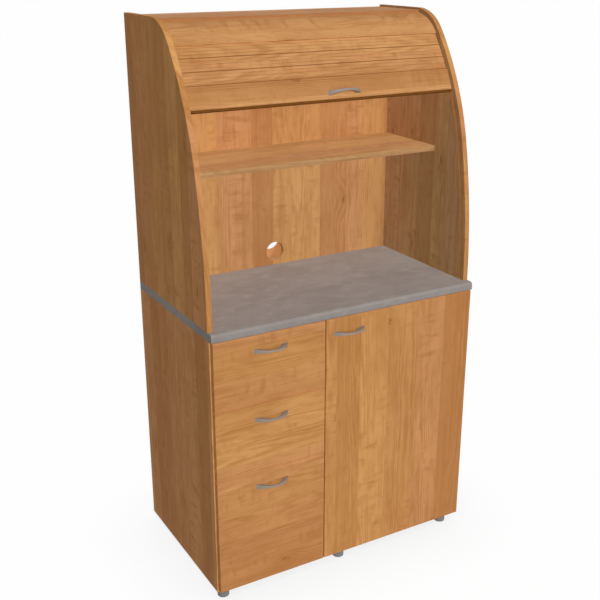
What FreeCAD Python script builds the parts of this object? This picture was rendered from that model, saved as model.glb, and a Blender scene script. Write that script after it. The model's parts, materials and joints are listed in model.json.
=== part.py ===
import FreeCAD, Part
import math
import os

os.makedirs("parts", exist_ok=True)
V = FreeCAD.Vector

# Base cabinet
unit_width = 1000.0
board = 18.0
carcass_depth = 572.0
carcass_height = 906.0
partition_centre = -96.0
thin_back = 4.0
rebate_depth = 9.0
top_rail_width = 90.0
worktop_thickness = 28.3
worktop_overhang = 0.5
worktop_nose = 10.0
worktop_lip = 5.0

# Feet
foot_height = 25.0
foot_diameter = 40.0
foot_rounding = 3.0
foot_neck_diameter = 34.0
foot_neck_height = 6.0
foot_left_inset = 27.0
foot_right_inset = 61.0
foot_front_inset = 12.0
foot_rear_inset = 60.0
foot_rear_pull = 14.0

# Drawer fronts and door panel
front_board = 18.0
front_gap = 1.5
front_side_inset = 4.0
front_top_gap = 2.0
front_bottom_gap = 7.0
drawer_gap = 3.0
door_gap = 4.0
top_front_height = 234.0
middle_front_height = 240.0
front_edge_radius = 1.5

# Drawer boxes and their runners
box_board = 12.0
box_bottom = 5.0
box_depth = 500.0
box_heights = (150.0, 150.0, 250.0)
box_lift = 34.0
runner_space = 12.7
runner_length = 480.0
runner_height = 35.0
runner_steel = 1.6
runner_clearance = 0.4
runner_lift = 20.0
drawer_travel = 380.0

# Bow handles
handle_span = 120.0
handle_projection = 28.0
handle_thickness = 6.0
handle_foot_width = 24.0
handle_foot_height = 16.0
handle_waist_height = 7.0
handle_edge_radius = 1.0
handle_drop = 51.0
door_handle_inset = 88.0
shutter_handle_offset = 59.0
shutter_handle_height = 19.0

# Concealed door hinges
hinge_low = 120.0
hinge_top_inset = 116.0
cup_diameter = 34.8
cup_bore_clearance = 0.1
cup_depth = 11.5
cup_edge_margin = 2.6
pocket_depth = 9.0
pocket_gap = 0.5
pocket_left_wall = 2.8
pocket_right_wall = 0.9
link_half_height = 3.3
link_width = 4.4
link_eye_wall = 1.7
hinge_pin = 4.0
hinge_pin_clearance = 0.05
cup_pin_reach = 8.0
cup_pin_end_gap = 0.3
cup_pin_depth = 4.5
cup_pin_from_edge = 8.5
elbow_reach = 9.0
elbow_dip = 0.6
arm_pin_from_side = 30.0
arm_pin_from_front = 6.0
arm_cheek = 3.0
arm_cheek_gap = 0.4
arm_width = 8.0
arm_length = 30.0
mount_lip = 2.0
mount_length = 40.0
mount_half_height = 9.0

# Shelves and shelf pins
shelf_side_gap = 0.5
pin_diameter = 5.0
pin_clearance = 0.05
pin_reach = 9.0
pin_seat = 8.0
pin_inset = 60.0
cupboard_shelf_height = 430.0
cupboard_shelf_setback = 40.0
hutch_shelf_height = 426.2
hutch_shelf_depth = 297.0

# Hutch side panels: front edge of three arcs
hutch_setback = 28.5
hutch_height = 901.4
sweep_start = 15.2
low_radius = 2219.0
low_angle = 12.05
high_radius = 913.0
crown_radius = 159.3

# Hutch boards
top_board_drop = 6.7
top_board_lap = 17.85
inner_back_front = 70.0
inner_back_drop = 71.4
cable_hole = 70.0
cable_height = 50.0
outer_hole_rise = 24.0
outer_hole_shift = 15.0

# Shutter guide
groove_offset = 16.0
groove_width = 13.0
groove_depth = 9.0
track_wall = 1.0
track_clearance = 0.1
run_clearance = 0.5
run_radius = 120.0
rear_radius = 80.0
guide_spare = 20.0

# Corner fascia
fascia_clearance = 1.0
fascia_thickness = 3.5
fascia_lap = 7.3

# Shutter
slat_pitch = 44.0
slat_joint = 2.5
slat_thickness = 7.0
slat_groove_depth = 1.0
slat_groove_width = 1.6
slat_groove_count = 3
slat_end_gap = 0.8
slat_web = 1.5
slat_web_gap = 0.3
front_slats = 3
tail_slats = 15
tongue_thickness = 3.0
tongue_width = 36.0
tongue_end_gap = 0.3
rail_height = 71.0
rail_thickness = 16.0
rail_plain = 49.0
rail_groove_count = 2
seal_height = 7.0
seal_thickness = 9.0
rail_bottom_height = 638.7
guide_pin = 4.0
guide_pin_seat = 20.0
guide_pin_height = 32.0
guide_pin_offset = 2.0

# Derived levels and places
rear = (carcass_depth + front_gap + front_board + handle_projection) / 2
half_width = unit_width / 2
inner_x = half_width - board
carcass_top = foot_height + carcass_height
worktop_top = carcass_top + worktop_thickness
hutch_top = worktop_top + hutch_height
partition_left = partition_centre - board / 2
partition_right = partition_centre + board / 2
front_back = carcass_depth + front_gap
front_face = front_back + front_board
worktop_depth = front_face + worktop_overhang
hutch_depth = worktop_depth - hutch_setback
door_left = partition_centre + door_gap / 2
door_right = half_width - front_side_inset
drawer_left = front_side_inset - half_width
drawer_right = partition_centre - door_gap / 2
fronts_bottom = foot_height + front_bottom_gap
fronts_top = carcass_top - front_top_gap


def at(x, depth, z):
    return V(x, rear - depth, z)


def block(x0, x1, d0, d1, z0, z1):
    return Part.makeBox(x1 - x0, d1 - d0, z1 - z0, at(x0, d1, z0))


def line(a, b):
    return Part.LineSegment(a, b).toShape()


def face_of(edges):
    return Part.Face(Part.Wire(Part.__sortEdges__(edges)))


def polygon(points):
    return Part.Face(Part.makePolygon(points + points[:1]))


def polar(centre, radius, degrees):
    a = math.radians(degrees)
    return (centre[0] + radius * math.cos(a), centre[1] + radius * math.sin(a))


def arc(x, centre, radius, start, end):
    points = [at(x, *polar(centre, radius, a)) for a in (start, (start + end) / 2, end)]
    return Part.Arc(*points).toShape()


def export(name, solids):
    shape = solids[0] if len(solids) == 1 else Part.makeCompound(solids)
    shape.exportStep("parts/%s.step" % name)


# Side panels, partition, bottom, back and rails of the base
def base_side(sign):
    panel = block(-board, 0, 0, carcass_depth, foot_height, carcass_top)
    rebate = block(-board, rebate_depth - board, 0, thin_back, foot_height, carcass_top)
    panel = panel.cut(rebate)
    panel.translate(V(half_width, 0, 0))
    return panel if sign > 0 else panel.mirror(V(0, 0, 0), V(1, 0, 0))


def pin_places(depth_front, depth_rear):
    return (depth_front - pin_inset, depth_rear + pin_inset)


def shelf_pin(x, direction, depth, z, clearance):
    radius = pin_diameter / 2 + clearance
    start = at(x - direction * (pin_seat + clearance), depth, z - pin_diameter / 2)
    length = pin_seat + pin_reach + clearance
    return Part.makeCylinder(radius, length, start, V(direction, 0, 0))


cupboard_shelf_z = foot_height + cupboard_shelf_height
cupboard_shelf_front = carcass_depth - cupboard_shelf_setback
cupboard_pins = []
right_side = base_side(1)
partition = block(partition_left, partition_right, thin_back, carcass_depth,
                  foot_height + board, carcass_top)
for pin_depth in pin_places(cupboard_shelf_front, thin_back):
    for wall_x, direction in ((partition_right, 1), (inner_x, -1)):
        cupboard_pins.append(shelf_pin(wall_x, direction, pin_depth, cupboard_shelf_z, 0))
        hole = shelf_pin(wall_x, direction, pin_depth, cupboard_shelf_z, pin_clearance)
        if direction > 0:
            partition = partition.cut(hole)
        else:
            right_side = right_side.cut(hole)

export("left_side_panel", [base_side(-1)])
export("right_side_panel", [right_side])
export("partition_panel", [partition])
export("cupboard_shelf_pins", cupboard_pins)
export("cupboard_shelf", [block(partition_right + shelf_side_gap, inner_x - shelf_side_gap, thin_back,
                                cupboard_shelf_front, cupboard_shelf_z, cupboard_shelf_z + board)])
export("bottom_panel", [block(-inner_x, inner_x, thin_back, carcass_depth, foot_height,
                              foot_height + board)])
export("base_back_panel", [block(-inner_x - rebate_depth, inner_x + rebate_depth, 0, thin_back,
                                 foot_height, carcass_top)])
top_rails = []
for bay_left, bay_right in ((-inner_x, partition_left), (partition_right, inner_x)):
    for rail_depth in (thin_back, carcass_depth - top_rail_width):
        top_rails.append(block(bay_left, bay_right, rail_depth, rail_depth + top_rail_width,
                               carcass_top - board, carcass_top))
export("top_rails", top_rails)

# Worktop with a rounded front edge
worktop = block(-half_width, half_width, 0, worktop_depth, carcass_top, worktop_top)


def front_edge(shape, depth, z):
    place = at(0, depth, z)
    return [e for e in shape.Edges if (e.CenterOfMass - place).Length < foot_rounding / 100]


worktop = worktop.makeFillet(worktop_nose, front_edge(worktop, worktop_depth, worktop_top))
worktop = worktop.makeFillet(worktop_lip, front_edge(worktop, worktop_depth, carcass_top))
export("worktop", [worktop])


# Feet turned about their own axis
def foot(x, depth):
    outer = foot_diameter / 2
    neck = foot_neck_diameter / 2
    shoulder = foot_height - foot_neck_height
    bend = foot_rounding * (1 - math.sqrt(0.5))
    points = [V(outer, 0, foot_rounding), V(outer, 0, shoulder), V(neck, 0, shoulder),
              V(neck, 0, foot_height), V(0, 0, foot_height), V(0, 0, 0), V(outer - foot_rounding, 0, 0)]
    edges = [line(a, b) for a, b in zip(points, points[1:])]
    edges.append(Part.Arc(points[-1], V(outer - bend, 0, bend), points[0]).toShape())
    solid = face_of(edges).revolve(V(0, 0, 0), V(0, 0, 1), 360)
    solid.translate(at(x, depth, 0))
    return solid


foot_left = foot_left_inset - half_width
foot_right = half_width - foot_right_inset
foot_middle = (foot_left + foot_right) / 2
foot_rows = ((foot_rear_inset, foot_rear_pull), (carcass_depth - foot_front_inset, 0))
export("feet", [foot(x, depth) for depth, pull in foot_rows
                for x in (foot_left + pull, foot_middle, foot_right - pull)])


# Bow handle lying on a front face at the origin, reaching towards -Y
def bow_handle():
    half = handle_span / 2
    inner = half - handle_foot_width
    reach = handle_projection
    clear = reach - handle_thickness
    outer_arc = Part.Arc(V(-half, 0, 0), V(0, -reach, 0), V(half, 0, 0)).toShape()
    inner_arc = Part.Arc(V(-inner, 0, 0), V(0, -clear, 0), V(inner, 0, 0)).toShape()
    feet = [line(V(-half, 0, 0), V(-inner, 0, 0)), line(V(inner, 0, 0), V(half, 0, 0))]
    plan = face_of([outer_arc, inner_arc] + feet)
    tall = handle_foot_height
    plan.translate(V(0, 0, -tall / 2))
    bow = plan.extrude(V(0, 0, tall))
    waist = handle_waist_height / 2
    upper = Part.Arc(V(-half, 0, tall / 2), V(0, 0, waist), V(half, 0, tall / 2)).toShape()
    lower = Part.Arc(V(-half, 0, -tall / 2), V(0, 0, -waist), V(half, 0, -tall / 2)).toShape()
    ends = [line(V(s * half, 0, -tall / 2), V(s * half, 0, tall / 2)) for s in (-1, 1)]
    outline = face_of([upper, lower] + ends).extrude(V(0, -reach, 0))
    bow = bow.common(outline)
    rims = [e for e in bow.Edges if e.CenterOfMass.y < -clear / 2 and e.Length > half]
    return bow.makeFillet(handle_edge_radius, rims)


def placed_handle(x, depth, z, lean=0.0):
    handle = bow_handle()
    handle.rotate(V(0, 0, 0), V(1, 0, 0), lean)
    handle.translate(at(x, depth, z))
    return handle


# Drawers: front, box of four boards, bottom and runners
def eased(panel):
    rim = [e for e in panel.Edges if abs(e.CenterOfMass.y - (rear - front_face)) < front_edge_radius / 10]
    return panel.makeFillet(front_edge_radius, rim)


drawer_names = ("top", "middle", "bottom")
top_bottom = fronts_top - top_front_height
middle_top = top_bottom - drawer_gap
middle_bottom = middle_top - middle_front_height
bottom_top = middle_bottom - drawer_gap
front_spans = ((top_bottom, fronts_top), (middle_bottom, middle_top), (fronts_bottom, bottom_top))
drawer_centre = (drawer_left + drawer_right) / 2
bay_left = -inner_x
bay_right = partition_left
box_left = bay_left + runner_space
box_right = bay_right - runner_space
box_rear = front_back - box_depth
cabinet_runners = []


def channel(x, away, depth_rear, z, lips, depth):
    web = runner_steel
    section = [(0, -lips), (depth, -lips), (depth, web - lips), (web, web - lips),
               (web, lips - web), (depth, lips - web), (depth, lips), (0, lips)]
    points = [at(x + away * u, depth_rear, z + w) for u, w in section]
    return polygon(points).extrude(V(0, -runner_length, 0))


def cabinet_runner(wall_x, away, z):
    return channel(wall_x, away, carcass_depth - runner_length, z, runner_height / 2,
                   runner_space - runner_clearance)


def drawer_runner(box_x, away, z):
    inset = runner_steel + runner_clearance
    return channel(box_x, away, front_back - runner_length, z, runner_height / 2 - inset,
                   runner_space - inset)


for name, (span_bottom, span_top), box_height in zip(drawer_names, front_spans, box_heights):
    front = eased(block(drawer_left, drawer_right, front_back, front_face, span_bottom, span_top))
    export("drawer_%s_front" % name, [front])
    floor_z = span_bottom + box_lift
    wall_z = floor_z + box_bottom
    wall_top = wall_z + box_height
    walls = [block(box_left, box_left + box_board, box_rear, front_back, wall_z, wall_top),
             block(box_right - box_board, box_right, box_rear, front_back, wall_z, wall_top),
             block(box_left + box_board, box_right - box_board, box_rear, box_rear + box_board,
                   wall_z, wall_top),
             block(box_left + box_board, box_right - box_board, front_back - box_board, front_back,
                   wall_z, wall_top)]
    export("drawer_%s_box" % name, walls)
    export("drawer_%s_base" % name, [block(box_left, box_right, box_rear, front_back, floor_z, wall_z)])
    runner_z = wall_z + runner_lift
    export("drawer_%s_runners" % name, [drawer_runner(box_left, -1, runner_z),
                                        drawer_runner(box_right, 1, runner_z)])
    cabinet_runners.append(cabinet_runner(bay_left, 1, runner_z))
    cabinet_runners.append(cabinet_runner(bay_right, -1, runner_z))
    export("drawer_%s_handle" % name, [placed_handle(drawer_centre, front_face, span_top - handle_drop)])
export("cabinet_runners", cabinet_runners)

# Door on two concealed hinges
hinge_zs = [foot_height + hinge_low, carcass_top - hinge_top_inset]
cup_radius = cup_diameter / 2
bore_radius = cup_radius + cup_bore_clearance
cup_x = door_right - cup_edge_margin - bore_radius
cup_pin_x = door_right - cup_pin_from_edge
cup_pin_at = front_back + cup_pin_depth
arm_pin_x = inner_x - arm_pin_from_side
mount_width = arm_pin_from_side + arm_width / 2 + mount_lip
pocket_half_height = link_half_height + pocket_gap
link_eye = hinge_pin + 2 * link_eye_wall
arm_pin_at = carcass_depth - arm_pin_from_front
elbow_x = cup_pin_x - elbow_reach
elbow_at = cup_pin_at + elbow_dip
pin_radius = hinge_pin / 2
eye_radius = pin_radius + hinge_pin_clearance


def upright(x, depth, z, radius, half):
    return Part.makeCylinder(radius, 2 * half, at(x, depth, z - half))


def bar(x0, d0, x1, d1, width, z0, z1):
    run = V(x1 - x0, d0 - d1, 0)
    aside = V(-run.y, run.x, 0)
    aside.normalize()
    aside.multiply(width / 2)
    a = at(x0, d0, z0)
    b = at(x1, d1, z0)
    return polygon([a + aside, b + aside, b - aside, a - aside]).extrude(V(0, 0, z1 - z0))


def hinge_cup(z):
    cup = Part.makeCylinder(cup_radius, cup_depth, at(cup_x, front_back, z), V(0, -1, 0))
    pocket = block(cup_x - cup_radius + pocket_left_wall, cup_x + cup_radius - pocket_right_wall,
                   front_back, front_back + pocket_depth, z - pocket_half_height, z + pocket_half_height)
    hole = upright(cup_pin_x, cup_pin_at, z, eye_radius, cup_pin_reach + cup_pin_end_gap)
    return cup.cut(pocket).cut(hole)


def hinge_link(z):
    low = z - link_half_height
    high = z + link_half_height
    link = bar(arm_pin_x, arm_pin_at, elbow_x, elbow_at, link_width, low, high)
    link = link.fuse(bar(elbow_x, elbow_at, cup_pin_x, cup_pin_at, link_width, low, high))
    link = link.fuse(upright(elbow_x, elbow_at, z, link_width / 2, link_half_height))
    link = link.fuse(upright(cup_pin_x, cup_pin_at, z, link_width / 2, link_half_height))
    link = link.fuse(upright(arm_pin_x, arm_pin_at, z, link_eye / 2, link_half_height))
    link = link.fuse(upright(cup_pin_x, cup_pin_at, z, pin_radius, cup_pin_reach))
    return link.cut(upright(arm_pin_x, arm_pin_at, z, eye_radius, link_half_height)).removeSplitter()


def hinge_arm(z):
    inside = link_half_height + arm_cheek_gap
    outside = inside + arm_cheek
    arm_rear = arm_pin_at - arm_length
    arm = bar(arm_pin_x, arm_pin_at, arm_pin_x, arm_rear, arm_width, z - outside, z + outside)
    arm = arm.fuse(upright(arm_pin_x, arm_pin_at, z, arm_width / 2, outside))
    slot_rear = arm_pin_at - link_eye
    slot = block(arm_pin_x - arm_width, arm_pin_x + arm_width, slot_rear, carcass_depth,
                 z - inside, z + inside)
    arm = arm.cut(slot).fuse(upright(arm_pin_x, arm_pin_at, z, pin_radius, outside))
    mount = block(inner_x - mount_width, inner_x, arm_rear - mount_length, arm_rear,
                  z - mount_half_height, z + mount_half_height)
    return arm.fuse(mount).removeSplitter()


door = eased(block(door_left, door_right, front_back, front_face, fronts_bottom, fronts_top))
for hinge_z in hinge_zs:
    door = door.cut(Part.makeCylinder(bore_radius, cup_depth, at(cup_x, front_back, hinge_z), V(0, -1, 0)))
export("door_panel", [door])
export("door_handle", [placed_handle(door_left + door_handle_inset, front_face, fronts_top - handle_drop)])
export("hinge_cups", [hinge_cup(z) for z in hinge_zs])
export("hinge_links", [hinge_link(z) for z in hinge_zs])
export("hinge_arms", [hinge_arm(z) for z in hinge_zs])

# Front edge of the hutch sides as three tangent arcs, seen along X
sweep_z = worktop_top + sweep_start
low_centre = (hutch_depth - low_radius, sweep_z)
high_centre = polar(low_centre, low_radius - high_radius, low_angle)
crown_z = hutch_top - crown_radius
high_angle = math.degrees(math.asin((crown_z - high_centre[1]) / (high_radius - crown_radius)))
crown_centre = polar(high_centre, high_radius - crown_radius, high_angle)
top_board_depth = crown_centre[0] + top_board_lap

# Middle line of the guide: up the front, round the crown, back and down behind the inner back
mid_offset = groove_offset + groove_width / 2
low_mid = low_radius - mid_offset
high_mid = high_radius - mid_offset
run_z = hutch_top - top_board_drop - board - groove_width / 2 - run_clearance
rear_inset = (thin_back + inner_back_front - board) / 2
turn_z = run_z - run_radius
turn_angle = math.degrees(math.asin((turn_z - high_centre[1]) / (high_mid - run_radius)))
turn_centre = polar(high_centre, high_mid - run_radius, turn_angle)
rear_centre = (rear_inset + rear_radius, run_z - rear_radius)
quarter = 90.0

# Lengths along the middle line of the guide, measured from the worktop
low_length = sweep_start + low_mid * math.radians(low_angle)
high_length = low_length + high_mid * math.radians(turn_angle - low_angle)
turn_length = high_length + run_radius * math.radians(quarter - turn_angle)
run_length = turn_length + turn_centre[0] - rear_centre[0]
rear_length = run_length + rear_radius * math.radians(quarter)

# Places of the open shutter along the guide
rail_bottom_z = worktop_top + rail_bottom_height
seal_angle = math.degrees(math.asin((rail_bottom_z - high_centre[1]) / high_mid))
seal_start = low_length + high_mid * math.radians(seal_angle - low_angle)
rail_start = seal_start + seal_height
rail_end = rail_start + rail_height


def on_guide(u):
    if u < sweep_start:
        return (hutch_depth - mid_offset, worktop_top + u)
    if u < low_length:
        return polar(low_centre, low_mid, math.degrees((u - sweep_start) / low_mid))
    if u < high_length:
        return polar(high_centre, high_mid, low_angle + math.degrees((u - low_length) / high_mid))
    if u < turn_length:
        return polar(turn_centre, run_radius, turn_angle + math.degrees((u - high_length) / run_radius))
    if u < run_length:
        return (turn_centre[0] - (u - turn_length), run_z)
    if u < rear_length:
        return polar(rear_centre, rear_radius, quarter + math.degrees((u - run_length) / rear_radius))
    return (rear_inset, rear_centre[1] - (u - rear_length))


def next_joint(u):
    here = on_guide(u)
    low = u
    high = u + 2 * slat_pitch
    while high - low > slat_web_gap / 1000:
        middle = (low + high) / 2
        there = on_guide(middle)
        if math.hypot(there[0] - here[0], there[1] - here[1]) < slat_pitch:
            low = middle
        else:
            high = middle
    return low


slat_joints = [rail_end]
for n in range(front_slats + tail_slats):
    slat_joints.append(next_joint(slat_joints[-1]))
guide_end = rear_centre[1] - (slat_joints[-1] - rear_length) - guide_spare


def guide_edges(x, grow):
    foot_depth = hutch_depth - mid_offset + grow
    drop_depth = rear_inset - grow
    return [line(at(x, foot_depth, worktop_top), at(x, foot_depth, sweep_z)),
            arc(x, low_centre, low_mid + grow, 0, low_angle),
            arc(x, high_centre, high_mid + grow, low_angle, turn_angle),
            arc(x, turn_centre, run_radius + grow, turn_angle, quarter),
            line(at(x, turn_centre[0], run_z + grow), at(x, rear_centre[0], run_z + grow)),
            arc(x, rear_centre, rear_radius + grow, quarter, 2 * quarter),
            line(at(x, drop_depth, rear_centre[1]), at(x, drop_depth, guide_end))]


def guide_band(x, half, depth):
    outer = guide_edges(x, half)
    inner = guide_edges(x, -half)
    foot_depth = hutch_depth - mid_offset
    caps = [line(at(x, foot_depth - half, worktop_top), at(x, foot_depth + half, worktop_top)),
            line(at(x, rear_inset - half, guide_end), at(x, rear_inset + half, guide_end))]
    return face_of(outer + inner + caps).extrude(V(depth, 0, 0))


hutch_shelf_z = worktop_top + hutch_shelf_height
shelf_front = inner_back_front + hutch_shelf_depth
shelf_pin_depths = pin_places(shelf_front, inner_back_front)


def hutch_side():
    edges = [line(at(inner_x, 0, worktop_top), at(inner_x, hutch_depth, worktop_top)),
             line(at(inner_x, hutch_depth, worktop_top), at(inner_x, hutch_depth, sweep_z)),
             arc(inner_x, low_centre, low_radius, 0, low_angle),
             arc(inner_x, high_centre, high_radius, low_angle, high_angle),
             arc(inner_x, crown_centre, crown_radius, high_angle, quarter),
             line(at(inner_x, crown_centre[0], hutch_top), at(inner_x, 0, hutch_top)),
             line(at(inner_x, 0, hutch_top), at(inner_x, 0, worktop_top))]
    panel = face_of(edges).extrude(V(board, 0, 0))
    panel = panel.cut(block(inner_x, inner_x + rebate_depth, 0, thin_back, worktop_top, top_board_top))
    panel = panel.cut(guide_band(inner_x, groove_width / 2, groove_depth))
    for depth in shelf_pin_depths:
        panel = panel.cut(shelf_pin(inner_x, -1, depth, hutch_shelf_z, pin_clearance))
    return panel


def mirrored(shape):
    return shape.mirror(V(0, 0, 0), V(1, 0, 0))


top_board_top = hutch_top - top_board_drop
right_hutch = hutch_side()
export("hutch_right_side", [right_hutch])
export("hutch_left_side", [mirrored(right_hutch)])
export("top_board", [block(-inner_x, inner_x, thin_back, top_board_depth, top_board_top - board,
                           top_board_top)])
hole_z = worktop_top + cable_height


def cable_drill(x, depth, z, length):
    return Part.makeCylinder(cable_hole / 2, length, at(x, depth, z), V(0, -1, 0))


inner_back = block(-inner_x, inner_x, inner_back_front - board, inner_back_front, worktop_top,
                   hutch_top - inner_back_drop)
export("hutch_inner_back", [inner_back.cut(cable_drill(0, inner_back_front - board, hole_z, board))])
outer_back = block(-inner_x - rebate_depth, inner_x + rebate_depth, 0, thin_back, worktop_top,
                   top_board_top)
outer_drill = cable_drill(outer_hole_shift, 0, hole_z + outer_hole_rise, thin_back)
export("hutch_outer_back", [outer_back.cut(outer_drill)])
export("hutch_shelf", [block(-inner_x + shelf_side_gap, inner_x - shelf_side_gap, inner_back_front,
                             shelf_front, hutch_shelf_z, hutch_shelf_z + board)])
shelf_pins = []
for depth in shelf_pin_depths:
    right_pin = shelf_pin(inner_x, -1, depth, hutch_shelf_z, 0)
    shelf_pins += [right_pin, mirrored(right_pin)]
export("shelf_pins", shelf_pins)

# Guide tracks lining the grooves
track_half = groove_width / 2 - track_clearance
right_track = guide_band(inner_x, track_half, groove_depth - track_clearance)
right_track = right_track.cut(guide_band(inner_x, track_half - track_wall,
                                         groove_depth - track_clearance - track_wall))
export("guide_tracks", [right_track, mirrored(right_track)])


# Fascia from the shutter's mouth round the crown to the top board
fascia_offset = mid_offset - slat_thickness / 2 - fascia_clearance - fascia_thickness
fascia_start = high_angle - math.degrees(fascia_lap / high_radius)


def fascia_edges(offset):
    return [arc(-inner_x, high_centre, high_radius - offset, fascia_start, high_angle),
            arc(-inner_x, crown_centre, crown_radius - offset, high_angle, quarter)]


fascia_ends = [polar(high_centre, high_radius - o, fascia_start)
               for o in (fascia_offset, fascia_offset + fascia_thickness)]
crown_ends = [polar(crown_centre, crown_radius - o, quarter)
              for o in (fascia_offset, fascia_offset + fascia_thickness)]
fascia_caps = [line(at(-inner_x, *ends[0]), at(-inner_x, *ends[1])) for ends in (fascia_ends, crown_ends)]
fascia = face_of(fascia_edges(fascia_offset) + fascia_edges(fascia_offset + fascia_thickness)
                 + fascia_caps).extrude(V(2 * inner_x, 0, 0))
fascia = fascia.cut(block(-inner_x, inner_x, 0, top_board_depth, carcass_top, hutch_top))
export("corner_fascia", [fascia])


# A strip of the shutter whose ends lie on the middle line: w runs up it, t outwards
def strip(section, x0, x1, start, end):
    a = on_guide(start)
    b = on_guide(end)
    length = math.hypot(b[0] - a[0], b[1] - a[1])
    up = ((b[0] - a[0]) / length, (b[1] - a[1]) / length)
    out = (up[1], -up[0])
    points = [at(x0, a[0] + w * up[0] + t * out[0], a[1] + w * up[1] + t * out[1]) for w, t in section]
    return polygon(points).extrude(V(x1 - x0, 0, 0))


def notches(start, end, places, t):
    points = []
    for place in places:
        points += [(place + slat_groove_width / 2, t), (place, t - slat_groove_depth),
                   (place - slat_groove_width / 2, t)]
    return [(end, t)] + points + [(start, t)]


slat_half = slat_thickness / 2
slat_end = inner_x - slat_end_gap
channel_end = inner_x + groove_depth - track_clearance - track_wall


def slat(start, end, with_tongues):
    step = slat_pitch / (slat_groove_count + 1)
    places = [slat_joint / 2 + step * n for n in range(slat_groove_count, 0, -1)]
    web = [(slat_joint, slat_web), (slat_web_gap, slat_web), (slat_web_gap, 0), (slat_joint, 0)]
    section = [(slat_joint, -slat_half), (slat_pitch, -slat_half)]
    section += notches(slat_joint, slat_pitch, places, slat_half) + web
    solid = strip(section, -slat_end, slat_end, start, end)
    if with_tongues:
        low = (slat_joint + slat_pitch - tongue_width) / 2
        high = low + tongue_width
        half = tongue_thickness / 2
        tongue = [(low, -half), (high, -half), (high, half), (low, half)]
        tip = channel_end - tongue_end_gap
        solid = solid.fuse(strip(tongue, -tip, tip, start, end)).removeSplitter()
    return solid


# Shutter rail with its seal, handle and guide pins
rail_half = rail_thickness / 2
rail_pitch = (rail_height - rail_plain) / (rail_groove_count + 1)
rail_places = [rail_plain + rail_pitch * n for n in range(rail_groove_count, 0, -1)]
rail_section = [(0, -rail_half), (rail_height, -rail_half)] + notches(0, rail_height, rail_places, rail_half)
rail = strip(rail_section, -slat_end, slat_end, rail_start, rail_end)
seal_half = seal_thickness / 2
seal_section = [(-seal_height, -seal_half), (0, -seal_half), (0, seal_half), (-seal_height, seal_half)]
seal = strip(seal_section, -slat_end, slat_end, rail_start, rail_end)

rail_low = on_guide(rail_start)
rail_high = on_guide(rail_end)
rail_lean = math.degrees(math.atan2(rail_low[0] - rail_high[0], rail_high[1] - rail_low[1]))


def on_rail(w, t):
    up = (-math.sin(math.radians(rail_lean)), math.cos(math.radians(rail_lean)))
    return (rail_low[0] + w * up[0] + t * up[1], rail_low[1] + w * up[1] - t * up[0])


guide_reach = channel_end - tongue_end_gap
guide_pins = []
for side in (-1, 1):
    start = at(side * (slat_end - guide_pin_seat), *on_rail(guide_pin_height, guide_pin_offset))
    length = guide_reach - slat_end + guide_pin_seat
    guide_pins.append(Part.makeCylinder(guide_pin / 2, length, start, V(side, 0, 0)))
    rail = rail.cut(guide_pins[-1])
export("shutter_rail", [rail])
export("shutter_seal", [seal])
export("shutter_guides", guide_pins)
handle_depth, handle_z = on_rail(shutter_handle_height, rail_half)
export("shutter_handle", [placed_handle(shutter_handle_offset, handle_depth, handle_z, -rail_lean)])
slats = [slat(*slat_joints[n:n + 2], n >= front_slats) for n in range(front_slats + tail_slats)]
export("shutter_slats", slats[:front_slats])
export("shutter_tail", slats[front_slats:])
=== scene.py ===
import json
import logging
import math
from dataclasses import dataclass
from enum import Enum
from typing import Any, Iterable, Optional, Sequence, Union

import bmesh
import bpy
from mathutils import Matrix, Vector


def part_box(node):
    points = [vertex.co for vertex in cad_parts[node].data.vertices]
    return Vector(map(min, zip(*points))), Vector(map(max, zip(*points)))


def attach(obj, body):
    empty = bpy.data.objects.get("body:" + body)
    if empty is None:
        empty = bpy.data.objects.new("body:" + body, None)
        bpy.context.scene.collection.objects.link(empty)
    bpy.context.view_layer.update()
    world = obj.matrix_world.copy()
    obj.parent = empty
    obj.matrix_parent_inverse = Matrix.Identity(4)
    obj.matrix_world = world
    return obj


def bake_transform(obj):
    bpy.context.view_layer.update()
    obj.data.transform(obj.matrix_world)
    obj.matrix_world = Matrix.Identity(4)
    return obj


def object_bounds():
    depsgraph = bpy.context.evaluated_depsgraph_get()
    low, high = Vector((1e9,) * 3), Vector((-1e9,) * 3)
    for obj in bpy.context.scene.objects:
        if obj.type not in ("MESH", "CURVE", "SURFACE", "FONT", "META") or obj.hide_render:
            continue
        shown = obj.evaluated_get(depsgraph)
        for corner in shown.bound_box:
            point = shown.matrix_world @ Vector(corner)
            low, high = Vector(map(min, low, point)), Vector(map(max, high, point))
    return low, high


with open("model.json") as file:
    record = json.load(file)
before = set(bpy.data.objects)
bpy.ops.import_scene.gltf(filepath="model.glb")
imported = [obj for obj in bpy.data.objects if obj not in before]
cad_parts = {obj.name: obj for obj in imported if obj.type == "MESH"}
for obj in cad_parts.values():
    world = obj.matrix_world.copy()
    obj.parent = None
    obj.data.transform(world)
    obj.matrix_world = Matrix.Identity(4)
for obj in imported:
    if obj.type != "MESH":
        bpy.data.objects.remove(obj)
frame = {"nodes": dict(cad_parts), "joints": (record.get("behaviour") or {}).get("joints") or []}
CAD_BOX = [list(corner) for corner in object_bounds()]
LOG = logging.getLogger("kitchenette")

METRE = 1000  # millimetres
REAR = CAD_BOX[1][1] * METRE
Point = tuple[float, float]
Triple = tuple[float, float, float]
Colour = tuple[float, float, float, float]
Sockets = Iterable[tuple[str, str]]
NUMBER = "NodeSocketFloat"
PAINT = "NodeSocketColor"
PLACE = "NodeSocketVector"
MIX_FACTOR, MIX_FIRST, MIX_SECOND, MIX_RESULT = 0, 6, 7, 2
WHITE = (1.0, 1.0, 1.0, 1.0)


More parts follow.
